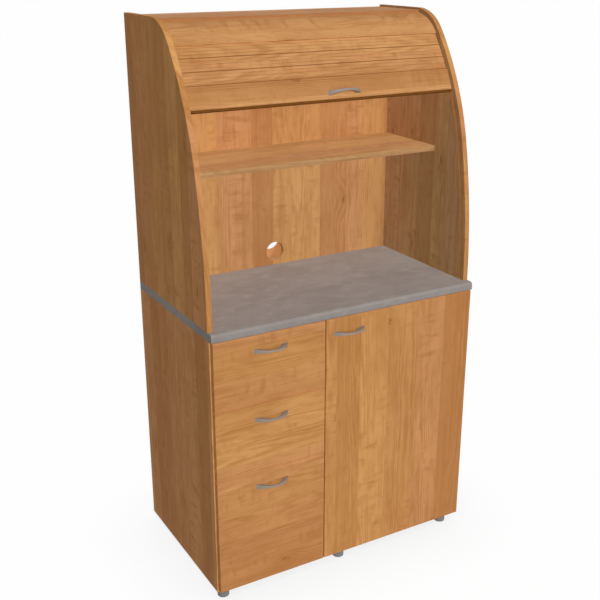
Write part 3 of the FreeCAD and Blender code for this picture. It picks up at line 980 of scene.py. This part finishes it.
@dataclass
class Door:
    """The door with its handle and concealed hinges.

    Attributes:
        finishes: The unit's finishes.
        wing: One wing of a hinge cup's flange, as places beside and above the cup's middle in millimetres.
        wing_steel: Thickness of the flange.
        wing_screw: Place of a wing's screw.
        handle_screw: Half the distance between the handle's screws.
        block_screws: Places of the two screws along a hinge's mounting block, from its front.
        block_length: Length of the mounting block.
    """

    finishes: Finishes
    wing: tuple[Point, ...] = (
        (-16, 5), (14, 5), (14, 12), (3, 19), (-4, 28), (-7, 30), (-12, 30), (-15, 28), (-16, 25))
    wing_steel: float = 0.8
    wing_screw: Point = (-9.5, 24.0)
    handle_screw: float = 48.0
    block_screws: tuple[float, float] = (9.0, 31.0)
    block_length: float = 40.0

    def dress(self) -> None:
        """Gives the door's nodes their finishes."""
        f = self.finishes
        f.dress("door_panel", Laminate("laminate_door", Grain.UPRIGHT, seed=62.8, stave=0.1))
        f.dress("door_handle", f.handle)
        for node in ("hinge_cups", "hinge_links", "hinge_arms"):
            f.dress(node, f.nickel)

    def build(self) -> None:
        """Makes the hinge flanges and the screws of hinges and handle."""
        low, high = (Vector(corner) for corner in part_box("hinge_cups"))
        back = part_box("door_panel")[1][1]
        radius = (high.x - low.x) / 2
        cups = [Vector((low.x + radius, back, z)) for z in (low.z + radius, high.z - radius)]
        flanges, screws = Shell(), Shell()
        rise = REARWARD * self.wing_steel / METRE
        for cup in cups:
            for side in (1, -1):
                outline = [cup + Vector((x, 0, side * z)) / METRE for x, z in self.wing]
                flanges.prism(outline[::side], rise)
                beside, above = self.wing_screw
                screws.turned(PAN_HEAD, cup + rise + Vector((beside, 0, side * above)) / METRE, REARWARD)
        handle_low, handle_high = (Vector(corner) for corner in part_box("door_handle"))
        middle = (handle_low + handle_high) / 2
        for side in (1, -1):
            place = Vector((middle.x + side * self.handle_screw / METRE, back, middle.z))
            screws.turned(PAN_HEAD, place, REARWARD)
        nickel = self.finishes.of(self.finishes.nickel)
        flanges.piece("hinge_flanges", nickel, "hinge_steel", "door")
        screws.piece("door_screws", nickel, "hinge_steel", "door")
        arm_low, arm_high = (Vector(corner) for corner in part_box("hinge_arms"))
        block = Shell()
        for cup in cups:
            for reach in self.block_screws:
                y = arm_high.y - (self.block_length - reach) / METRE
                block.turned(PAN_HEAD, Vector((arm_low.x, y, cup.z)), LEFTWARD)
        block.piece("hinge_block_screws", nickel, "hinge_steel", "carcass")


@dataclass
class Hutch:
    """The hutch: curved sides, backs, shelf, top board and fascia.

    Attributes:
        finishes: The unit's finishes.
        side_stave: Stave width of the curved sides in metres.
        back_stave: Stave width of the inner back in metres.
        crown_stave: Stave width of the fascia in metres.
    """

    finishes: Finishes
    side_stave: float = 0.11
    back_stave: float = 0.1
    crown_stave: float = 0.06

    def dress(self) -> None:
        """Gives the hutch's nodes their finishes."""
        f = self.finishes
        f.dress("hutch_left_side", Laminate(
            "laminate_hutch_left", Grain.UPRIGHT, seed=47.1, stave=self.side_stave))
        # Its inner face takes less orange tones: painted light offsetting the bounce light in the hutch.
        f.dress("hutch_right_side", Laminate(
            "laminate_hutch_right", Grain.UPRIGHT, seed=36.4, stave=self.side_stave, painted_light_tones=ALDER_LEFT_FACE_PAINTED_LIGHT))
        # The inner back's tones are less saturated: painted light offsetting the bounce light in the hutch.
        f.dress("hutch_inner_back", Laminate(
            "laminate_inner_back", Grain.UPRIGHT, seed=107.9, stave=self.back_stave, tones=ALDER_INNER_BACK_PAINTED_LIGHT))
        # The shelf's tones are less red: painted light offsetting the bounce light in the hutch.
        f.dress("hutch_shelf", Laminate(
            "laminate_hutch_shelf", Grain.LEVEL, seed=14.0, tones=ALDER_SHELF_PAINTED_LIGHT))
        # Top board and fascia take the darker crown tones: painted shade offsetting the stronger light on
        # them.
        f.dress("top_board", Laminate(
            "laminate_top_board", Grain.LEVEL, seed=15.0, tones=ALDER_CROWN_PAINTED_SHADE))
        f.dress("corner_fascia", Laminate(
            "laminate_fascia", Grain.CURVED, seed=111.9, stave=self.crown_stave, tones=ALDER_CROWN_PAINTED_SHADE))
        f.dress("hutch_outer_back", f.back)
        f.dress("shelf_pins", f.nickel)
        f.dress("guide_tracks", f.track)


@dataclass
class Shutter:
    """The roll-front shutter with its stored curtain.

    Attributes:
        finishes: The unit's finishes.
        joints: Joints between the slats on the guide's middle line, as depth and height in millimetres.
        half_length: Half the slats' length.
        slat_pitch: Distance between two joints.
        joint_width: Gap between two slats' faces.
        web_profile: Section of a joint's web, across the joint and outwards.
        rail_web_profile: Section of the web above the thicker rail.
        feed_slats: Slats that come out of the crown when the shutter closes.
        feed_base: Height of the folded slats' inner face over the middle line.
        feed_rise: Their thickness.
        feed_gap: Room below and above the folded slats in the joint.
        grooves: Places of the grooves across a slat.
        groove_half: Half a groove's width as a share of the pitch.
        groove_floor: Height of a groove's bottom, with the outer face at 1.
        edge_width: Width of a slat's sloped edge as a share of the pitch.
        joint_floor: Height of the bottom between two fed slats.
        feed_web_span: Where a fed web begins and ends in its joint.
        feed_web_rise: Heights of its inner and outer face.
        slat_stave: Stave width of the slats in metres.
        feed_stave: Stave width of the fed slats in metres.
    """

    finishes: Finishes
    joints: tuple[Point, ...] = (
        (406.36, 1668.25), (384.6, 1706.5), (360.98, 1743.62), (335.56, 1779.53))
    half_length: float = 481.2
    slat_pitch: float = 44.0
    joint_width: float = 2.5
    web_profile: tuple[Point, ...] = ((0.15, 1.55), (2.35, 1.55), (2.0, 2.3), (1.25, 2.55), (0.5, 2.3))
    rail_web_profile: tuple[Point, ...] = ((0.15, 1.55), (2.35, 1.55), (2.35, 5.6), (1.5, 6.6), (0.15, 6.8))
    feed_slats: int = 15
    feed_base: float = 1.6
    feed_rise: float = 1.85
    feed_gap: tuple[float, float] = (0.3, 2.2)
    grooves: tuple[float, ...] = (0.25, 0.5, 0.75)
    groove_half: float = 0.02
    groove_floor: float = 0.45
    edge_width: float = 0.005
    joint_floor: float = 0.2
    feed_web_span: Point = (0.04, 0.96)
    feed_web_rise: Point = (0.25, 0.7)
    slat_stave: float = 0.06
    feed_stave: float = 0.08

    def dress(self) -> None:
        """Gives the shutter's nodes their finishes."""
        f = self.finishes
        # The slats take the darker crown tones: painted shade offsetting the stronger light on them.
        wood = Laminate(
            "laminate_shutter", Grain.CURVED, seed=58.1, stave=self.slat_stave, tones=ALDER_CROWN_PAINTED_SHADE)
        for node in ("shutter_rail", "shutter_slats", "shutter_tail"):
            f.dress(node, wood)
        f.dress("shutter_seal", f.seal)
        f.dress("shutter_guides", f.nylon)
        f.dress("shutter_handle", f.handle)

    def build_webs(self) -> None:
        """Makes the webs between the slats, whose dark tone is partly their own and partly painted shade,
        showing as lines in the joints.
        """
        run = Vector((2 * self.half_length, 0, 0)) / METRE
        shell = Shell()
        profile = self.rail_web_profile
        for low, high in zip(self.joints, self.joints[1:]):
            length = math.dist(low, high)
            up = ((high[0] - low[0]) / length, (high[1] - low[1]) / length)
            outline = []
            for along, out in profile:
                depth = low[0] + along * up[0] + out * up[1]
                outline.append(at(-self.half_length, depth, low[1] + along * up[1] - out * up[0]))
            shell.prism(outline, run)
            profile = self.web_profile
        shell.piece("shutter_webs", self.finishes.of(self.finishes.web), "seal", "shutter")

    def feed_profile(self) -> list[Point]:
        """Gives the outer face of the fed slats as share of the run and height.

        Returns:
            Points from the shutter's end to the crown's end.
        """
        pitch, joint = self.feed_pitch()
        groove = self.groove_half * pitch
        edge = self.edge_width * pitch
        floor = self.joint_floor
        points: list[Point] = []
        for index in range(self.feed_slats):
            start = index * pitch
            points += [(start, floor), (start + joint, floor), (start + joint + edge, 1.0)]
            for share in self.grooves:
                middle = start + joint + share * (pitch - joint)
                points += [(middle - groove, 1.0), (middle, self.groove_floor), (middle + groove, 1.0)]
            points.append((start + pitch - edge, 1.0))
        return points + [(1.0, 1.0)]

    def feed_pitch(self) -> Point:
        """Gives a fed slat's pitch and its joint's width as shares of the run."""
        pitch = 1.0 / self.feed_slats
        return (pitch, pitch * self.joint_width / self.slat_pitch)

    def build_feed(self) -> None:
        """Makes the slats that come out of the crown, folded into the joint below it at rest."""
        joint = next(j for j in frame["joints"] if j["name"] == "shutter_travel")
        pole = (REAR - joint["pos_m"][1] * METRE, joint["pos_m"][2] * METRE)
        mouth = self.joints[-1]
        reach = math.dist(mouth, pole)
        bearing = math.atan2(mouth[1] - pole[1], mouth[0] - pole[0])
        near, far = (bearing + gap / reach for gap in self.feed_gap)

        def turned(radius: float, angle: float) -> Vector:
            """Gives the left end of a line at a radius and angle about the pole."""
            depth = pole[0] + radius * math.cos(angle)
            return at(-self.half_length, depth, pole[1] + radius * math.sin(angle))

        def folded(share: float, height: float) -> Vector:
            """Gives a folded point.

            Args:
                share: 0 at the shutter's end, 1 at the crown's end.
                height: 0 at the inner face, 1 at the outer face.

            Returns:
                Its place at the left end.
            """
            # the inverse of a smooth step, so that the blend draws the slats out evenly
            ease = 0.5 - math.sin(math.asin(1 - 2 * share) / 3)
            return turned(reach + self.feed_base + self.feed_rise * height, near + (far - near) * ease)

        run = Vector((2 * self.half_length, 0, 0)) / METRE
        rows = self.feed_profile()
        slats, webs = Shell(), Shell()
        rows += [(share, 0.0) for share, _ in reversed(rows)]
        slats.prism([folded(*row) for row in rows], run)
        pitch, width = self.feed_pitch()
        inner, outer = self.feed_web_rise
        # The fed joints' webs are dark too: partly painted shade for the joints.
        for index in range(self.feed_slats):
            low, high = (index * pitch + share * width for share in self.feed_web_span)
            section = ((low, inner), (high, inner), (high, outer), (low, outer))
            webs.prism([folded(*corner) for corner in section], run)
        # The fed slats take the darker crown tones too: painted shade offsetting the stronger light on the
        # shutter.
        wood = Laminate(
            "laminate_shutter_feed", Grain.SHEET, seed=18.0, stave=self.feed_stave, tones=ALDER_CROWN_PAINTED_SHADE)
        feed = slats.piece("shutter_feed", self.finishes.of(wood), "laminate", None)
        length = reach * math.radians(joint["range_deg"][1]) / METRE
        layout = feed.data.uv_layers.new(name="sheet").data
        for loop in feed.data.loops:
            corner = loop.vertex_index
            share = rows[corner % len(rows)][0]
            layout[loop.index].uv = (feed.data.vertices[corner].co.x, share * length)
        lines = webs.piece("shutter_feed_webs", self.finishes.of(self.finishes.web), "seal", None)
        for piece in (feed, lines):
            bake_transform(piece)


@dataclass(frozen=True)
class Lamp:
    """A soft sun.

    Attributes:
        name: Its name.
        strength: Its strength.
        tilt: Its rotation in degrees.
        softness: The angle that it fills, in degrees.
        shadow: Whether it casts shadows and shows as a gloss; a fill does neither.
    """

    name: str
    strength: float
    tilt: Triple
    softness: float = 30.0
    shadow: bool = False

    def build(self) -> None:
        """Adds the lamp to the scene."""
        data = bpy.data.lights.new(self.name, "SUN")
        data.energy = self.strength
        data.angle = math.radians(self.softness)
        data.use_shadow = self.shadow
        lamp = bpy.data.objects.new(self.name, data)
        lamp.rotation_euler = [math.radians(angle) for angle in self.tilt]
        lamp.visible_glossy = self.shadow
        bpy.context.scene.collection.objects.link(lamp)


@dataclass
class Studio:
    """Floor, light and camera.

    Attributes:
        eye: The camera's place in metres.
        tilt: The camera's rotation in degrees.
        lens: Its focal length for its sensor.
        sensor: Width of the sensor in millimetres.
        lamps: The suns.
        ambient: Strength of the light from all sides.
        floor_half: Half the floor's width in metres.
        floor_tones: The floor's two greys.
        floor_patches: Scale of their patches.
        floor_rough: The floor's roughness.
        floor_specular: Strength of its gloss.
        floor_white: Share of plain white in the floor as the camera sees it.
        floor_glow: Strength of that white.
        shadow_reach: How far the unit's soft shadow reaches over the white, in metres.
        shadow_depth: How much of the white that shadow takes at most.
        shadow_rays: Rays that find that shadow.
    """

    eye: Triple = (-1.5817, -2.70725, 2.0417)
    tilt: Triple = (69.90, 0.0, -29.80)
    lens: float = 57.09
    sensor: float = 36.0
    lamps: tuple[Lamp, ...] = (
        Lamp("key_front", 1.0, (85.0, 0.0, 0.0), softness=20.0, shadow=True),
        Lamp("fill_front", 0.85, (85.0, 0.0, 0.0)),
        Lamp("fill_high", 2.05, (20.0, 0.0, 0.0)),
        Lamp("fill_left", 0.45, (85.0, 0.0, -90.0)),
        Lamp("fill_rear", 1.4, (90.0, 0.0, 150.0)),
    )
    ambient: float = 0.03
    floor_half: float = 70.0
    floor_tones: tuple[Colour, Colour] = (srgb(180, 180, 180), srgb(188, 188, 188))
    floor_patches: float = 3.0
    floor_rough: float = 0.9
    floor_specular: float = 0.1
    floor_white: float = 0.9
    floor_glow: float = 1.06
    shadow_reach: float = 0.3
    shadow_depth: float = 0.16
    shadow_rays: int = 16

    def build(self) -> None:
        """Makes the floor, world, lamps and camera."""
        scene = bpy.context.scene
        scene.view_settings.view_transform = "Standard"
        self.make_floor()
        self.make_world()
        for lamp in self.lamps:
            lamp.build()
        data = bpy.data.cameras.new("camera")
        data.lens = self.lens
        data.sensor_width = self.sensor
        camera = bpy.data.objects.new("camera", data)
        camera.location = self.eye
        camera.rotation_euler = [math.radians(angle) for angle in self.tilt]
        scene.collection.objects.link(camera)
        scene.camera = camera

    def seen(self, w: Wiring) -> bpy.types.NodeSocket:
        """Gives 1 for rays that show the background."""
        path = w.add("ShaderNodeLightPath").outputs
        mirror = w.math("MAXIMUM", path["Is Glossy Ray"], path["Is Transmission Ray"])
        return w.math("MAXIMUM", path["Is Camera Ray"], mirror)

    def make_floor(self) -> None:
        """Makes the pale floor, which keeps the unit's shadow."""
        half = self.floor_half
        mesh = bpy.data.meshes.new("floor")
        corners = [(-half, -half, 0), (half, -half, 0), (half, half, 0), (-half, half, 0)]
        mesh.from_pydata(corners, [], [(0, 1, 2, 3)])
        floor = bpy.data.objects.new("floor", mesh)
        bpy.context.scene.collection.objects.link(floor)
        material, w, surface = blank("pale_floor")
        where = w.add("ShaderNodeTexCoord").outputs["Object"]
        cloud = w.noise(where, self.floor_patches, detail=3.0)
        w.feed(surface.inputs["Base Color"], w.mix(cloud, *self.floor_tones))
        surface.inputs["Roughness"].default_value = self.floor_rough
        surface.inputs["Specular IOR Level"].default_value = self.floor_specular
        glow = w.add("ShaderNodeEmission")
        contact = w.add("ShaderNodeAmbientOcclusion", samples=self.shadow_rays)
        contact.inputs["Distance"].default_value = self.shadow_reach
        shade = w.scaled(contact.outputs["AO"], self.shadow_depth, 1.0 - self.shadow_depth)
        w.feed(glow.inputs["Strength"], w.scaled(shade, self.floor_glow))
        blend = w.add("ShaderNodeMixShader")
        w.feed(blend.inputs[0], w.scaled(self.seen(w), self.floor_white))
        w.feed(blend.inputs[1], surface.outputs["BSDF"])
        w.feed(blend.inputs[2], glow.outputs["Emission"])
        out = next(node for node in material.node_tree.nodes if node.type == "OUTPUT_MATERIAL")
        w.feed(out.inputs["Surface"], blend.outputs["Shader"])
        wear(floor, material)

    def make_world(self) -> None:
        """Makes the white surround with soft light from all sides."""
        world = bpy.data.worlds.new("studio")
        bpy.context.scene.world = world
        world.use_nodes = True
        world.node_tree.nodes.clear()
        w = Wiring(world.node_tree)
        light = w.add("ShaderNodeBackground")
        light.inputs["Color"].default_value = WHITE
        light.inputs["Strength"].default_value = self.ambient
        white = w.add("ShaderNodeBackground")
        white.inputs["Color"].default_value = WHITE
        blend = w.add("ShaderNodeMixShader")
        w.feed(blend.inputs[0], self.seen(w))
        w.feed(blend.inputs[1], light.outputs["Background"])
        w.feed(blend.inputs[2], white.outputs["Background"])
        out = w.add("ShaderNodeOutputWorld")
        w.feed(out.inputs["Surface"], blend.outputs["Shader"])


def main() -> None:
    """Builds the studio and dresses each sub-assembly in turn."""
    logging.basicConfig(level=logging.INFO, format="%(message)s")
    Studio().build()
    finishes = Finishes()
    Base(finishes).dress()
    Drawers(finishes).dress()
    door = Door(finishes)
    door.dress()
    door.build()
    Hutch(finishes).dress()
    shutter = Shutter(finishes)
    shutter.dress()
    shutter.build_webs()
    shutter.build_feed()


if __name__ == "__main__":
    main()
